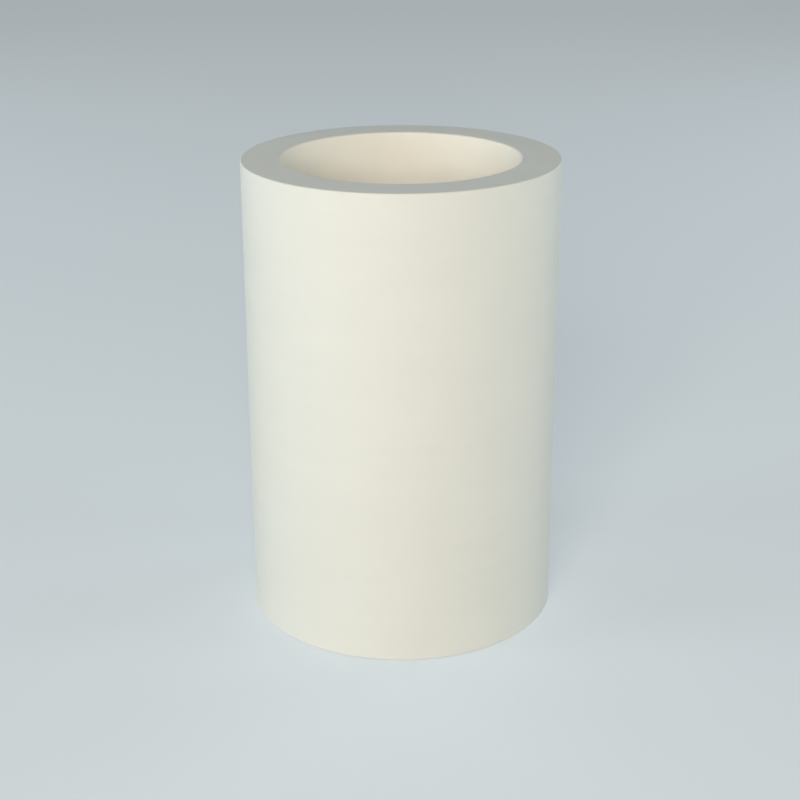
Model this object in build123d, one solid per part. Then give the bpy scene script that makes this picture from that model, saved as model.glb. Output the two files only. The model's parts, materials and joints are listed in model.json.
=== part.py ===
from build123d import *

import os

# A short length of thick-walled tube, moulded in PTFE and faced off square at both ends.
# It is one piece: stock for turning into bushes, seals, valve seats and insulating sleeves.
# It stands on one end. Its axis is Z, and the origin is the centre of the end that it stands on.
# All sizes are in millimetres.

# Driving dimensions
BORE_DIAMETER = 75.0
WALL = 12.5
LENGTH = 150.0
# Size of the 45 degree chamfer that takes the sharp edge off each end, outside and in the bore.
OUTER_EDGE_BREAK = 0.3
BORE_EDGE_BREAK = 0.3

PARTS_FOLDER = "parts"


def wall_section(bore_radius, wall, length, outer_edge_break, bore_edge_break):
    """The wall cut through on one side of the axis: an upright strip with its four corners broken."""
    with BuildSketch(Plane.XZ) as section:
        with Locations((bore_radius, 0)):
            Rectangle(wall, length, align=Align.MIN)
        corners = section.vertices().group_by(Axis.X)
        chamfer(corners[0], bore_edge_break)
        chamfer(corners[-1], outer_edge_break)
    return section.sketch


def tube():
    """The whole tube: the wall's section turned once round the axis, which leaves the bore open end to end."""
    section = wall_section(BORE_DIAMETER / 2, WALL, LENGTH, OUTER_EDGE_BREAK, BORE_EDGE_BREAK)
    return revolve(section, axis=Axis.Z)


def main():
    """Writes each piece of the tube, of which there is one, to its own STEP file."""
    os.makedirs(PARTS_FOLDER, exist_ok=True)
    export_step(tube(), os.path.join(PARTS_FOLDER, "tube.step"))


main()
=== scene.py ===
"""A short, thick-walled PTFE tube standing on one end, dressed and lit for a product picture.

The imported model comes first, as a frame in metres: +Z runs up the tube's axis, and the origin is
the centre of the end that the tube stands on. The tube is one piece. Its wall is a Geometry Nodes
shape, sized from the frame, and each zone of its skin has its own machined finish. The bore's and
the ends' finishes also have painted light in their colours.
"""

import json
import logging
import math
from dataclasses import dataclass
from enum import Enum
from typing import Any, ClassVar

import bpy
from mathutils import Matrix, Vector


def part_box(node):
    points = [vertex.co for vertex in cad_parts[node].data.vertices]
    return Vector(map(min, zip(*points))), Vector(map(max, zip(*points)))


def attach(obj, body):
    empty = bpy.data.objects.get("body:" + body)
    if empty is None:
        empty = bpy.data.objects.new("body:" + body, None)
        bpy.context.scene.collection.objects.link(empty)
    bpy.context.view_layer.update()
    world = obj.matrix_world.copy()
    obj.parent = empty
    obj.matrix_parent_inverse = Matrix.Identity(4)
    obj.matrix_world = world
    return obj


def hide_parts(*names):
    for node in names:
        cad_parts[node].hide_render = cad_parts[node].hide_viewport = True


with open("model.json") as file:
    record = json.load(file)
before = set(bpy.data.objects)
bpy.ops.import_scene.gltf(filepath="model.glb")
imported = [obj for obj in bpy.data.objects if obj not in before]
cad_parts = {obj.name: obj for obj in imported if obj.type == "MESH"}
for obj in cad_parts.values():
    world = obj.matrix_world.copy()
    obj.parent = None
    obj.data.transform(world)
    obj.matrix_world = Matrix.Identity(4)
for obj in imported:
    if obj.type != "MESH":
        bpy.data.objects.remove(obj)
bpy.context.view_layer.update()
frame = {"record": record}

log = logging.getLogger("tube_scene")

TUBE_NODE = "tube"
BODY = "root"
MM = 0.001

Colour = tuple[float, float, float]
Socket = bpy.types.NodeSocket
Sockets = bpy.types.bpy_prop_collection

BLACK: Colour = (0.0, 0.0, 0.0)
ACROSS_THE_AXIS = (1.0, 1.0, 0.0)


class Zone(Enum):
    """The zones of the tube's skin, which the lathe leaves with different marks."""

    OUTSIDE = "outside"
    BORE = "bore"
    ENDS = "ends"
    EDGE_BREAKS = "edge_breaks"


class Travel(Enum):
    """Which way the tool moved over a zone, so which way its marks follow each other."""

    ALONG_AXIS = "Height"
    ACROSS_FACE = "Distance"


def as_rgba(colour: Colour) -> tuple[float, float, float, float]:
    """Returns a linear colour with full alpha."""
    return (*colour, 1.0)


def put_in_scene(name: str, data: bpy.types.ID) -> bpy.types.Object:
    """Makes an object and links it to the scene.

    Args:
        name: The object's name.
        data: Its mesh, light or camera.

    Returns:
        The new object.
    """
    thing = bpy.data.objects.new(name, data)
    bpy.context.scene.collection.objects.link(thing)
    return thing


class TreeMaker:
    """Adds nodes to a node tree, for a shape or for a finish, and joins their sockets."""

    # Noise hardly leaves this range, which is stretched to run from 0 to 1.
    NOISE_LOW = 0.25
    NOISE_HIGH = 0.75

    def __init__(self, tree: bpy.types.NodeTree) -> None:
        """Keeps the tree that the nodes go into."""
        self.tree = tree

    @classmethod
    def of(cls, owner: bpy.types.Material | bpy.types.World) -> "TreeMaker":
        """Empties the node tree of a material or a world.

        Args:
            owner: The material or the world, which is switched over to nodes.

        Returns:
            The maker for its tree.
        """
        owner.use_nodes = True
        owner.node_tree.nodes.clear()
        return cls(owner.node_tree)

    def add(
        self, kind: str, inputs: dict[str | int, Any] | None = None, **settings: Any
    ) -> bpy.types.Node:
        """Adds one node.

        Args:
            kind: The node's Blender type.
            inputs: For each input, by name or number, a plain value or the socket to link to it.
            **settings: The node's own settings.

        Returns:
            The new node.
        """
        node = self.tree.nodes.new(kind)
        for name, value in settings.items():
            setattr(node, name, value)
        for key, value in (inputs or {}).items():
            if isinstance(value, Socket):
                self.link(value, node.inputs[key])
            else:
                node.inputs[key].default_value = value
        return node

    def link(self, start: Socket, end: Socket) -> None:
        """Links an output to an input."""
        self.tree.links.new(start, end)

    def math(self, operation: str, *values: Any, clamp: bool = False) -> Socket:
        """Adds a Math node.

        Args:
            operation: The node's operation, such as MULTIPLY.
            *values: Its numbers or sockets, in order.
            clamp: Whether the result is held between 0 and 1.

        Returns:
            The result's socket.
        """
        wires = dict(enumerate(values))
        return self.add("ShaderNodeMath", wires, operation=operation, use_clamp=clamp).outputs[0]

    def vector(self, operation: str, *values: Any) -> bpy.types.Node:
        """Returns a new Vector Math node with these vectors or sockets, in order."""
        return self.add("ShaderNodeVectorMath", dict(enumerate(values)), operation=operation)

    def compare(self, operation: str, first: Any, second: Any) -> Socket:
        """Returns the outcome of a Compare node on two numbers."""
        wires = {0: first, 1: second}
        node = self.add("FunctionNodeCompare", wires, data_type="FLOAT", operation=operation)
        return node.outputs[0]

    def both(self, first: Socket, second: Socket) -> Socket:
        """Returns whether both outcomes hold."""
        wires = {0: first, 1: second}
        return self.add("FunctionNodeBooleanMath", wires, operation="AND").outputs[0]

    def neither(self, first: Socket, second: Socket) -> Socket:
        """Returns whether neither outcome holds."""
        wires = {0: first, 1: second}
        return self.add("FunctionNodeBooleanMath", wires, operation="NOR").outputs[0]

    def blend(self, share: Socket, first: Colour, second: Colour) -> Socket:
        """Mixes two colours.

        Args:
            share: How much of the second colour there is, from 0 to 1.
            first: The colour at 0.
            second: The colour at 1.

        Returns:
            The mixed colour's socket.
        """
        wires = {"Factor": share, "A": as_rgba(first), "B": as_rgba(second)}
        return self.add("ShaderNodeMix", wires, data_type="RGBA").outputs["Result"]

    def noise(self, place: Socket, scale: Any, detail: float, roughness: float) -> Socket:
        """Adds a noise pattern that runs smoothly from 0 to 1.

        Args:
            place: Where the pattern is read.
            scale: How many times it repeats in one unit of the place.
            detail: How many finer layers it has.
            roughness: How strong each finer layer is.

        Returns:
            The pattern's socket.
        """
        wires = {"Vector": place, "Scale": scale, "Detail": detail, "Roughness": roughness}
        pattern = self.add("ShaderNodeTexNoise", wires).outputs[0]
        wires = {"Value": pattern, "From Min": self.NOISE_LOW, "From Max": self.NOISE_HIGH}
        return self.add("ShaderNodeMapRange", wires, interpolation_type="SMOOTHSTEP").outputs[0]


@dataclass(frozen=True)
class Port:
    """A named input or output of a node group, with the value that an input starts from."""

    name: str
    kind: str
    value: Any = None


def new_group(
    name: str, kind: str, ports_in: list[Port], ports_out: list[Port]
) -> tuple[TreeMaker, Sockets, Sockets]:
    """Makes an empty node group with its ports.

    Args:
        name: The group's name.
        kind: ShaderNodeTree or GeometryNodeTree.
        ports_in: Its inputs, in order.
        ports_out: Its outputs, in order.

    Returns:
        The maker for the group's tree, and the sockets of its inputs and of its outputs, by name.
    """
    tree = bpy.data.node_groups.new(name, kind)
    for way, ports in (("INPUT", ports_in), ("OUTPUT", ports_out)):
        for port in ports:
            socket = tree.interface.new_socket(name=port.name, in_out=way, socket_type=port.kind)
            if port.value is not None:
                socket.default_value = port.value
    maker = TreeMaker(tree)
    return maker, maker.add("NodeGroupInput").outputs, maker.add("NodeGroupOutput").inputs


class SharedGroup:
    """A shader node group that is built once, for all the finishes that use it."""

    NAME: ClassVar[str]

    @classmethod
    def group(cls) -> bpy.types.NodeTree:
        """Returns the group, which is built the first time that it is asked for."""
        return bpy.data.node_groups.get(cls.NAME) or cls.build()

    @classmethod
    def build(cls) -> bpy.types.NodeTree:
        """Builds the group, which each kind does in its own way."""
        raise NotImplementedError


class RoundTheAxis(SharedGroup):
    """Turns a point on the tube into its distance from the axis, its height and its direction."""

    NAME = "round_the_axis"

    @classmethod
    def build(cls) -> bpy.types.NodeTree:
        """Builds the group.

        Returns:
            The new group's tree.
        """
        maker, given, out = new_group(
            cls.NAME,
            "ShaderNodeTree",
            [Port("Point", "NodeSocketVector")],
            [
                Port("Distance", "NodeSocketFloat"),
                Port("Height", "NodeSocketFloat"),
                Port("Direction", "NodeSocketVector"),
            ],
        )
        flat = maker.vector("MULTIPLY", given["Point"], ACROSS_THE_AXIS).outputs["Vector"]
        parts = maker.add("ShaderNodeSeparateXYZ", {0: given["Point"]})
        maker.link(maker.vector("LENGTH", flat).outputs["Value"], out["Distance"])
        maker.link(parts.outputs["Z"], out["Height"])
        maker.link(maker.vector("NORMALIZE", flat).outputs["Vector"], out["Direction"])
        return maker.tree


class ToolMarks(SharedGroup):
    """The rings that a lathe tool leaves: fine ridges, and slow bands that drift round the tube."""

    NAME = "tool_marks"
    # For each pattern, how fast it changes against the ridges, and its detail.
    PATTERNS = {"Ridges": (1.0, 2.0), "Bands": (0.16, 1.0)}
    ROUGHNESS = 0.55
    SPACING = 0.8 * MM
    DRIFT = 1.5

    @classmethod
    def build(cls) -> bpy.types.NodeTree:
        """Builds the group.

        Returns:
            The new group's tree.
        """
        maker, given, out = new_group(
            cls.NAME,
            "ShaderNodeTree",
            [
                Port("Travel", "NodeSocketFloat"),
                Port("Direction", "NodeSocketVector"),
                Port("Spacing", "NodeSocketFloat", cls.SPACING),
                Port("Drift", "NodeSocketFloat", cls.DRIFT),
            ],
            [Port(name, "NodeSocketFloat") for name in cls.PATTERNS],
        )
        steps = maker.math("DIVIDE", given["Travel"], given["Spacing"])
        turned = maker.vector("SCALE", given["Direction"])
        maker.link(given["Drift"], turned.inputs["Scale"])
        for name, (pace, detail) in cls.PATTERNS.items():
            climb = maker.add("ShaderNodeCombineXYZ", {"Z": maker.math("MULTIPLY", steps, pace)})
            place = maker.vector("ADD", turned.outputs["Vector"], climb.outputs["Vector"])
            marks = maker.noise(place.outputs["Vector"], 1.0, detail, cls.ROUGHNESS)
            maker.link(marks, out[name])
        return maker.tree


class MouldedBody(SharedGroup):
    """The moulded powder under the skin: broad soft clouds and a fine waxy grain."""

    NAME = "moulded_body"
    # For each pattern, the input that sets its size, that size, and its detail.
    PATTERNS = {"Clouds": ("Cloud Size", 30.0 * MM, 2.0), "Grain": ("Grain Size", 0.5 * MM, 3.0)}
    ROUGHNESS = 0.5

    @classmethod
    def build(cls) -> bpy.types.NodeTree:
        """Builds the group.

        Returns:
            The new group's tree.
        """
        maker, given, out = new_group(
            cls.NAME,
            "ShaderNodeTree",
            [
                Port("Point", "NodeSocketVector"),
                *(Port(name, "NodeSocketFloat", size) for name, size, _ in cls.PATTERNS.values()),
            ],
            [Port(name, "NodeSocketFloat") for name in cls.PATTERNS],
        )
        for name, (size_input, _, detail) in cls.PATTERNS.items():
            scale = maker.math("DIVIDE", 1.0, given[size_input])
            maker.link(maker.noise(given["Point"], scale, detail, cls.ROUGHNESS), out[name])
        return maker.tree


@dataclass(frozen=True)
class MachinedPtfe:
    """The finish of one zone of the tube: white PTFE, a little waxy, with its last cut's marks.

    The masks of the shared groups mix the colour with its shade, swing the roughness and raise the
    surface. The colour and shade that the bore and the ends are given hold painted light. Lengths
    are in metres.
    """

    zone: Zone
    travel: Travel
    colour: Colour = (0.795, 0.775, 0.70)
    shade: Colour = (0.755, 0.735, 0.66)
    shade_by_clouds: float = 0.30
    shade_by_bands: float = 0.22
    shade_by_grain: float = 0.12
    roughness: float = 0.46
    roughness_swing: float = 0.08
    swing_by_bands: float = 0.6
    swing_by_clouds: float = 0.4
    mark_spacing: float = ToolMarks.SPACING
    mark_drift: float = ToolMarks.DRIFT
    mark_depth: float = 0.004 * MM
    grain_depth: float = 0.003 * MM
    refraction: float = 1.35
    glow: float = 0.10
    glow_depth: float = 0.8 * MM
    glow_reach: Colour = (1.0, 0.9, 0.75)

    def material(self) -> bpy.types.Material:
        """Builds the zone's material.

        Returns:
            The new material.
        """
        material = bpy.data.materials.new(f"ptfe_{self.zone.value}")
        maker = TreeMaker.of(material)
        point = maker.add("ShaderNodeTexCoord").outputs["Object"]
        place = maker.add("ShaderNodeGroup", node_tree=RoundTheAxis.group())
        body = maker.add("ShaderNodeGroup", node_tree=MouldedBody.group())
        marks = maker.add("ShaderNodeGroup", node_tree=ToolMarks.group())
        maker.link(point, place.inputs["Point"])
        maker.link(point, body.inputs["Point"])
        maker.link(place.outputs[self.travel.value], marks.inputs["Travel"])
        maker.link(place.outputs["Direction"], marks.inputs["Direction"])
        marks.inputs["Spacing"].default_value = self.mark_spacing
        marks.inputs["Drift"].default_value = self.mark_drift
        clouds, grain = body.outputs["Clouds"], body.outputs["Grain"]
        ridges, bands = marks.outputs["Ridges"], marks.outputs["Bands"]

        shade = 0.0
        for mask, weight in (
            (clouds, self.shade_by_clouds),
            (bands, self.shade_by_bands),
            (grain, self.shade_by_grain),
        ):
            shade = maker.math("MULTIPLY_ADD", mask, weight, shade)

        swing = maker.math("MULTIPLY", bands, self.swing_by_bands)
        swing = maker.math("MULTIPLY_ADD", clouds, self.swing_by_clouds, swing)
        smoothest = self.roughness - self.roughness_swing / 2
        rough = maker.math("MULTIPLY_ADD", swing, self.roughness_swing, smoothest)

        relief = maker.math("MULTIPLY", ridges, self.mark_depth)
        relief = maker.math("MULTIPLY_ADD", grain, self.grain_depth, relief)
        bump = maker.add("ShaderNodeBump", {"Height": relief, "Strength": 1.0, "Distance": 1.0})

        skin = maker.add(
            "ShaderNodeBsdfPrincipled",
            {
                "Base Color": maker.blend(shade, self.colour, self.shade),
                "Roughness": rough,
                "Normal": bump.outputs["Normal"],
                "IOR": self.refraction,
                "Subsurface Weight": self.glow,
                "Subsurface Radius": self.glow_reach,
                "Subsurface Scale": self.glow_depth,
            },
        )
        maker.add("ShaderNodeOutputMaterial", {"Surface": skin.outputs["BSDF"]})
        return material


@dataclass
class Tube:
    """The tube: one thick wall turned round the axis, with a chamfer on each of its four edges.

    Lengths are in metres. The corners of the chamfers are eased by the corner radius.
    """

    # How much of a face's normal points up or down: 0 is an upright face and 1 a level one.
    UPRIGHT_BELOW: ClassVar[float] = 0.01
    LEVEL_ABOVE: ClassVar[float] = 0.999
    # The share of the faces at an edge that lie on a chamfer: it is a half along its border.
    BORDER_SHARES: ClassVar[tuple[float, float]] = (0.25, 0.75)
    BREAK_ATTRIBUTE: ClassVar[str] = "on_edge_break"

    outer_radius: float
    bore_radius: float
    length: float
    edge_break: float
    corner_radius: float = 0.2 * MM
    steps_round: int = 360
    steps_per_corner: int = 3
    name: str = "tube_wall"
    finishes: tuple[MachinedPtfe, ...] = (
        MachinedPtfe(Zone.OUTSIDE, Travel.ALONG_AXIS),
        MachinedPtfe(
            Zone.BORE,
            Travel.ALONG_AXIS,
            # Painted light: the bore's colour and shade are lighter and warmer than the outside's.
            # They stand in for light that shines through the wall and bounces round the bore.
            colour=(0.93, 0.89, 0.79),
            shade=(0.89, 0.845, 0.745),
            mark_spacing=1.0 * MM,
        ),
        MachinedPtfe(
            Zone.ENDS,
            Travel.ACROSS_FACE,
            # Painted light: the ends' colour and shade are lighter and cooler than the outside's.
            # They stand in for the cool light that falls on the rim from above.
            colour=(0.82, 0.83, 0.775),
            shade=(0.78, 0.79, 0.735),
            mark_spacing=0.9 * MM,
        ),
        MachinedPtfe(Zone.EDGE_BREAKS, Travel.ALONG_AXIS, roughness=0.38, mark_depth=0.0),
    )

    @classmethod
    def from_frame(cls, record: dict[str, Any], low: Vector, high: Vector) -> "Tube":
        """Takes the tube's sizes from the frame.

        Args:
            record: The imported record, whose mounts give the bore and the outside.
            low: The lowest corner of the tube's node.
            high: Its highest corner.

        Returns:
            The tube, not yet built.
        """
        sizes = {mount["name"]: mount["dims"] for mount in record["mounts"]}
        length = high[2] - low[2]
        return cls(
            outer_radius=sizes["outside"]["r_mm"] * MM,
            bore_radius=sizes["bore"]["r_mm"] * MM,
            length=length,
            edge_break=(length - sizes["bore"]["length_mm"] * MM) / 2,
        )

    def sizes(self) -> dict[str, float]:
        """Returns the lengths that the shape's tree takes, by the names of its inputs."""
        return {
            "Outer Radius": self.outer_radius,
            "Bore Radius": self.bore_radius,
            "Length": self.length,
            "Edge Break": self.edge_break,
            "Corner Radius": self.corner_radius,
        }

    def steps(self) -> dict[str, int]:
        """Returns the counts that the shape's tree takes, by the names of its inputs."""
        return {"Steps Round": self.steps_round, "Steps per Corner": self.steps_per_corner}

    def sweep_wall(self, maker: TreeMaker, given: Sockets, middle: Socket) -> Socket:
        """Adds the wall's section and sweeps it round the axis.

        Args:
            maker: The maker of the shape's tree.
            given: The tree's inputs.
            middle: The radius of the wall's middle.

        Returns:
            The wall's mesh, standing on its lower end.
        """
        wall = maker.math("SUBTRACT", given["Outer Radius"], given["Bore Radius"])
        path = maker.add(
            "GeometryNodeCurvePrimitiveCircle",
            {"Resolution": given["Steps Round"], "Radius": middle},
            mode="RADIUS",
        )
        upright = maker.add(
            "GeometryNodeSetCurveNormal", {"Curve": path.outputs["Curve"]}, mode="Z_UP"
        )
        section = maker.add(
            "GeometryNodeCurvePrimitiveQuadrilateral",
            {"Width": wall, "Height": given["Length"]},
            mode="RECTANGLE",
        )
        for count, radius in (
            (1, given["Edge Break"]),
            (given["Steps per Corner"], given["Corner Radius"]),
        ):
            section = maker.add(
                "GeometryNodeFilletCurve",
                {"Curve": section.outputs["Curve"], "Count": count, "Radius": radius},
                mode="POLY",
            )
        swept = maker.add(
            "GeometryNodeCurveToMesh",
            {"Curve": upright.outputs["Curve"], "Profile Curve": section.outputs["Curve"]},
        )
        half_length = maker.math("MULTIPLY", given["Length"], 0.5)
        lift = maker.add("ShaderNodeCombineXYZ", {"Z": half_length})
        standing = maker.add(
            "GeometryNodeTransform",
            {"Geometry": swept.outputs["Mesh"], "Translation": lift.outputs["Vector"]},
        )
        return standing.outputs["Geometry"]

    def find_zones(self, maker: TreeMaker, middle: Socket) -> dict[Zone, bool | Socket]:
        """Tells which faces each zone takes, from the way that they face and where they are.

        Args:
            maker: The maker of the shape's tree.
            middle: The radius of the wall's middle.

        Returns:
            The choice of faces for each zone. The outside takes them all, and then the others
            take theirs.
        """
        facing = maker.add("GeometryNodeInputNormal").outputs["Normal"]
        rise = maker.add("ShaderNodeSeparateXYZ", {0: facing}).outputs["Z"]
        slope = maker.math("ABSOLUTE", rise)
        place = maker.add("GeometryNodeInputPosition").outputs["Position"]
        flat = maker.vector("MULTIPLY", place, ACROSS_THE_AXIS).outputs["Vector"]
        distance = maker.vector("LENGTH", flat).outputs["Value"]
        upright = maker.compare("LESS_THAN", slope, self.UPRIGHT_BELOW)
        level = maker.compare("GREATER_THAN", slope, self.LEVEL_ABOVE)
        return {
            Zone.OUTSIDE: True,
            Zone.BORE: maker.both(upright, maker.compare("LESS_THAN", distance, middle)),
            Zone.ENDS: level,
            Zone.EDGE_BREAKS: maker.neither(upright, level),
        }

    def crease(self, maker: TreeMaker, wall: Socket, on_break: Socket) -> Socket:
        """Shades the wall smooth, with a crease where each chamfer meets its neighbours.

        Args:
            maker: The maker of the shape's tree.
            wall: The wall's mesh.
            on_break: Which of its faces are on a chamfer.

        Returns:
            The shaded mesh.
        """
        smooth = maker.add("GeometryNodeSetShadeSmooth", {"Geometry": wall}, domain="FACE")
        marked = maker.add(
            "GeometryNodeStoreNamedAttribute",
            {
                "Geometry": smooth.outputs["Geometry"],
                "Name": self.BREAK_ATTRIBUTE,
                "Value": on_break,
            },
            data_type="FLOAT",
            domain="FACE",
        )
        named = maker.add(
            "GeometryNodeInputNamedAttribute", {"Name": self.BREAK_ATTRIBUTE}, data_type="FLOAT"
        )
        share = named.outputs["Attribute"]
        least, most = self.BORDER_SHARES
        border = maker.both(
            maker.compare("GREATER_THAN", share, least), maker.compare("LESS_THAN", share, most)
        )
        creased = maker.add(
            "GeometryNodeSetShadeSmooth",
            {"Geometry": marked.outputs["Geometry"], "Selection": border, "Shade Smooth": False},
            domain="EDGE",
        )
        return creased.outputs["Geometry"]

    def shape_tree(self) -> bpy.types.NodeTree:
        """Builds the Geometry Nodes tree: the wall swept round the axis and split into its zones.

        Returns:
            The new tree.
        """
        maker, given, out = new_group(
            "tube_shape",
            "GeometryNodeTree",
            [
                *(Port(name, "NodeSocketFloat") for name in self.sizes()),
                *(Port(name, "NodeSocketInt") for name in self.steps()),
                *(Port(zone.value, "NodeSocketMaterial") for zone in Zone),
            ],
            [Port("Geometry", "NodeSocketGeometry")],
        )
        both_radii = maker.math("ADD", given["Outer Radius"], given["Bore Radius"])
        middle = maker.math("MULTIPLY", both_radii, 0.5)
        zones = self.find_zones(maker, middle)
        wall = self.sweep_wall(maker, given, middle)
        wall = self.crease(maker, wall, zones[Zone.EDGE_BREAKS])
        wall = maker.add("GeometryNodeRealizeInstances", {"Geometry": wall}).outputs["Geometry"]
        for zone, chosen in zones.items():
            wires = {"Geometry": wall, "Selection": chosen, "Material": given[zone.value]}
            wall = maker.add("GeometryNodeSetMaterial", wires).outputs["Geometry"]
        maker.link(wall, out["Geometry"])
        return maker.tree

    def build(self) -> bpy.types.Object:
        """Builds the tube as a plain mesh and puts it in place of the frame's node.

        Returns:
            The tube's object.
        """
        tree = self.shape_tree()
        host = put_in_scene("tube_host", bpy.data.meshes.new("tube_host"))
        modifier = host.modifiers.new("shape", "NODES")
        modifier.node_group = tree
        materials = {finish.zone.value: finish.material() for finish in self.finishes}
        values: dict[str, Any] = {**self.sizes(), **self.steps(), **materials}
        for item in tree.interface.items_tree:
            if item.in_out == "INPUT":
                modifier[item.identifier] = values[item.name]
        host.update_tag()
        evaluated = host.evaluated_get(bpy.context.evaluated_depsgraph_get())
        mesh = bpy.data.meshes.new_from_object(evaluated)
        mesh.name = self.name
        bpy.data.objects.remove(host)

        tube = put_in_scene(self.name, mesh)
        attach(tube, BODY)
        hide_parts(TUBE_NODE)
        return tube


def seen_directly(maker: TreeMaker) -> Socket:
    """Tells rays that show the stage from rays that only carry its light.

    Args:
        maker: The maker of the tree that asks.

    Returns:
        A socket that is 1 for a camera, glossy or transmission ray and 0 for the others.
    """
    path = maker.add("ShaderNodeLightPath").outputs
    shiny = maker.math("ADD", path["Is Glossy Ray"], path["Is Transmission Ray"])
    return maker.math("ADD", path["Is Camera Ray"], shiny, clamp=True)


@dataclass(frozen=True)
class PaleSheet:
    """The finish of the floor: plain, pale and matt.

    It has one colour for the rays that show it and one for the light that it throws back. The veil
    is a plain tone that only those first rays see, so the far floor stays pale and lights nothing.
    """

    seen: Colour = (0.45, 0.475, 0.49)
    thrown: Colour = (0.55, 0.62, 0.66)
    veil: Colour = (0.31, 0.34, 0.355)
    roughness: float = 0.8
    shine: float = 0.2

    def material(self) -> bpy.types.Material:
        """Builds the floor's material.

        Returns:
            The new material.
        """
        material = bpy.data.materials.new("pale_sheet")
        maker = TreeMaker.of(material)
        seen = seen_directly(maker)
        sheet = maker.add(
            "ShaderNodeBsdfPrincipled",
            {
                "Base Color": maker.blend(seen, self.thrown, self.seen),
                "Roughness": self.roughness,
                "Specular IOR Level": self.shine,
                "Emission Color": maker.blend(seen, BLACK, self.veil),
                "Emission Strength": 1.0,
            },
        )
        maker.add("ShaderNodeOutputMaterial", {"Surface": sheet.outputs["BSDF"]})
        return material


@dataclass(frozen=True)
class Floor:
    """The floor that the tube stands on: one wide flat disc."""

    radius: float = 6.0
    steps: int = 96
    finish: PaleSheet = PaleSheet()

    def build(self) -> bpy.types.Object:
        """Builds the floor at the tube's foot.

        Returns:
            The floor's object.
        """
        turns = [math.tau * step / self.steps for step in range(self.steps)]
        rim = [(self.radius * math.cos(turn), self.radius * math.sin(turn), 0.0) for turn in turns]
        mesh = bpy.data.meshes.new("floor")
        mesh.from_pydata(rim, [], [tuple(range(self.steps))])
        mesh.materials.append(self.finish.material())
        floor = put_in_scene("floor", mesh)
        return floor


@dataclass(frozen=True)
class Softbox:
    """A square soft light that looks at the tube's middle.

    Its bearing is in degrees from the camera's side, with the left negative, and its height in
    degrees above the level of the middle. Lengths are in metres and the power in watts.
    """

    name: str
    bearing: float
    height: float
    power: float
    colour: Colour
    distance: float = 1.3
    side: float = 0.5

    def build(self, target: Vector) -> bpy.types.Object:
        """Builds the light.

        Args:
            target: The point that it looks at.

        Returns:
            The light's object.
        """
        light = bpy.data.lights.new(self.name, "AREA")
        light.shape = "SQUARE"
        light.size = self.side
        light.energy = self.power
        light.color = self.colour
        bearing, height = math.radians(self.bearing), math.radians(self.height)
        level = math.cos(height)
        away = Vector((math.sin(bearing) * level, -math.cos(bearing) * level, math.sin(height)))
        lamp = put_in_scene(self.name, light)
        lamp.location = target + away * self.distance
        lamp.rotation_euler = away.to_track_quat("Z", "Y").to_euler()
        return lamp


@dataclass(frozen=True)
class RoomLight:
    """The even light of the room, and the pale colour that shows where the floor ends."""

    ambient: Colour = (0.9, 1.0, 1.05)
    strength: float = 0.04
    seen: Colour = (0.70, 0.75, 0.78)

    def build(self) -> bpy.types.World:
        """Builds the world.

        Returns:
            The new world.
        """
        world = bpy.data.worlds.new("room")
        maker = TreeMaker.of(world)
        shaders = [
            maker.add("ShaderNodeBackground", {"Color": as_rgba(colour), "Strength": strength})
            for colour, strength in ((self.ambient, self.strength), (self.seen, 1.0))
        ]
        light, shown = (shader.outputs["Background"] for shader in shaders)
        mix = maker.add("ShaderNodeMixShader", {0: seen_directly(maker), 1: light, 2: shown})
        maker.add("ShaderNodeOutputWorld", {"Surface": mix.outputs["Shader"]})
        bpy.context.scene.world = world
        return world


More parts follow.
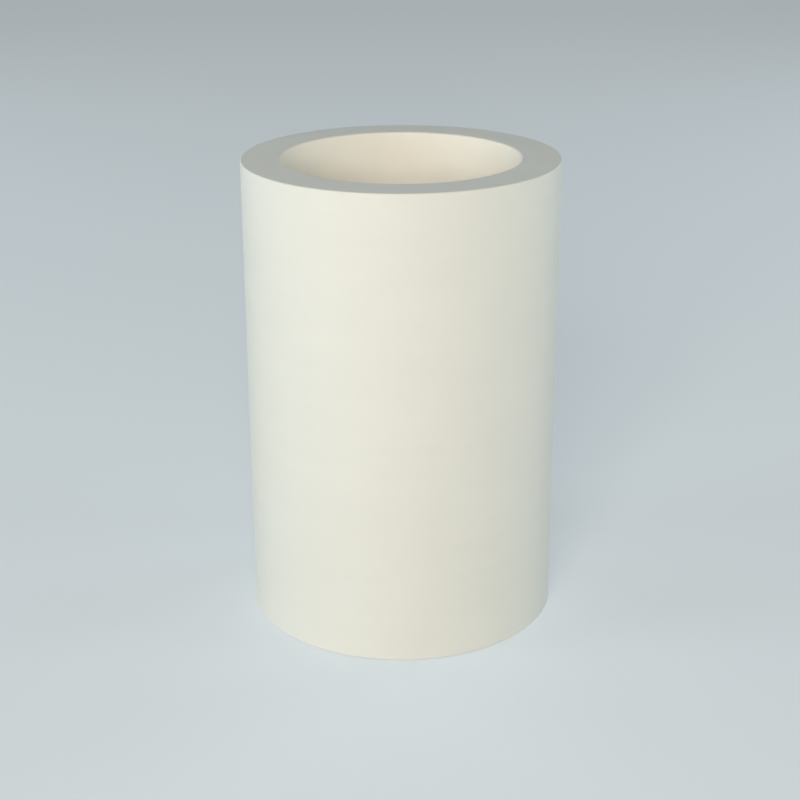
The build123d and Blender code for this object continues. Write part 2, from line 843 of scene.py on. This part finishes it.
@dataclass(frozen=True)
class Camera:
    """The camera at the photograph's place.

    It stands this far back from the axis and this high above the floor, in metres. Its angles are
    in degrees, and its sensor and clipping are in Blender's own units.
    """

    back: float = 0.4912
    height: float = 0.2559
    pitch: float = 20.849
    yaw: float = 0.069
    roll: float = -0.174
    focal_pixels: float = 1597.18
    frame_pixels: float = 800.0
    sensor: float = 36.0
    nearest: float = 0.01
    farthest: float = 50.0

    def build(self) -> bpy.types.Object:
        """Builds the camera and makes it the scene's own.

        Returns:
            The camera's object.
        """
        lens = bpy.data.cameras.new("camera")
        lens.sensor_width = self.sensor
        lens.lens = self.focal_pixels / self.frame_pixels * self.sensor
        lens.clip_start, lens.clip_end = self.nearest, self.farthest
        camera = put_in_scene("camera", lens)
        turned = (
            Matrix.Rotation(math.radians(self.yaw), 4, "Z")
            @ Matrix.Rotation(math.radians(90.0 - self.pitch), 4, "X")
            @ Matrix.Rotation(math.radians(self.roll), 4, "Z")
        )
        camera.matrix_world = Matrix.Translation((0.0, -self.back, self.height)) @ turned
        bpy.context.scene.camera = camera
        return camera


@dataclass(frozen=True)
class Studio:
    """Everything round the tube: the floor, the lights, the room and the camera."""

    floor: Floor = Floor()
    room: RoomLight = RoomLight()
    camera: Camera = Camera()
    lights: tuple[Softbox, ...] = (
        Softbox("front", -8.0, 24.0, power=12.8, colour=(0.97, 0.925, 0.86), side=0.6),
        Softbox("left", -76.0, 13.0, power=5.5, colour=(0.82, 0.94, 1.0)),
        Softbox("right", 78.0, 13.0, power=3.9, colour=(0.78, 0.88, 0.90)),
        Softbox("back_left", -122.0, 12.0, power=2.6, colour=(0.85, 0.97, 1.0)),
        Softbox("back_right", 120.0, 12.0, power=4.4, colour=(0.84, 0.95, 1.0)),
    )

    def build(self, target: Vector) -> list[bpy.types.Object]:
        """Builds the studio and sets how colours are shown.

        Args:
            target: The point that the lights look at.

        Returns:
            The floor, the camera and the lights.
        """
        self.room.build()
        bpy.context.scene.view_settings.view_transform = "Standard"
        lamps = [light.build(target) for light in self.lights]
        return [self.floor.build(), self.camera.build(), *lamps]


def main() -> None:
    """Builds the tube and the studio, and reports each piece."""
    logging.basicConfig(level=logging.INFO, format="%(message)s")
    low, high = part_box(TUBE_NODE)
    tube = Tube.from_frame(frame["record"], low, high)
    piece = tube.build()
    size = [round(side / MM, 2) for side in piece.dimensions]
    faces, materials = len(piece.data.polygons), len(piece.data.materials)
    log.info("%s: %s mm, %d faces, %d materials", piece.name, size, faces, materials)
    for item in Studio().build(Vector((0.0, 0.0, tube.length / 2))):
        log.info("%s: %s", item.name, item.type.lower())


if __name__ == "__main__":
    main()
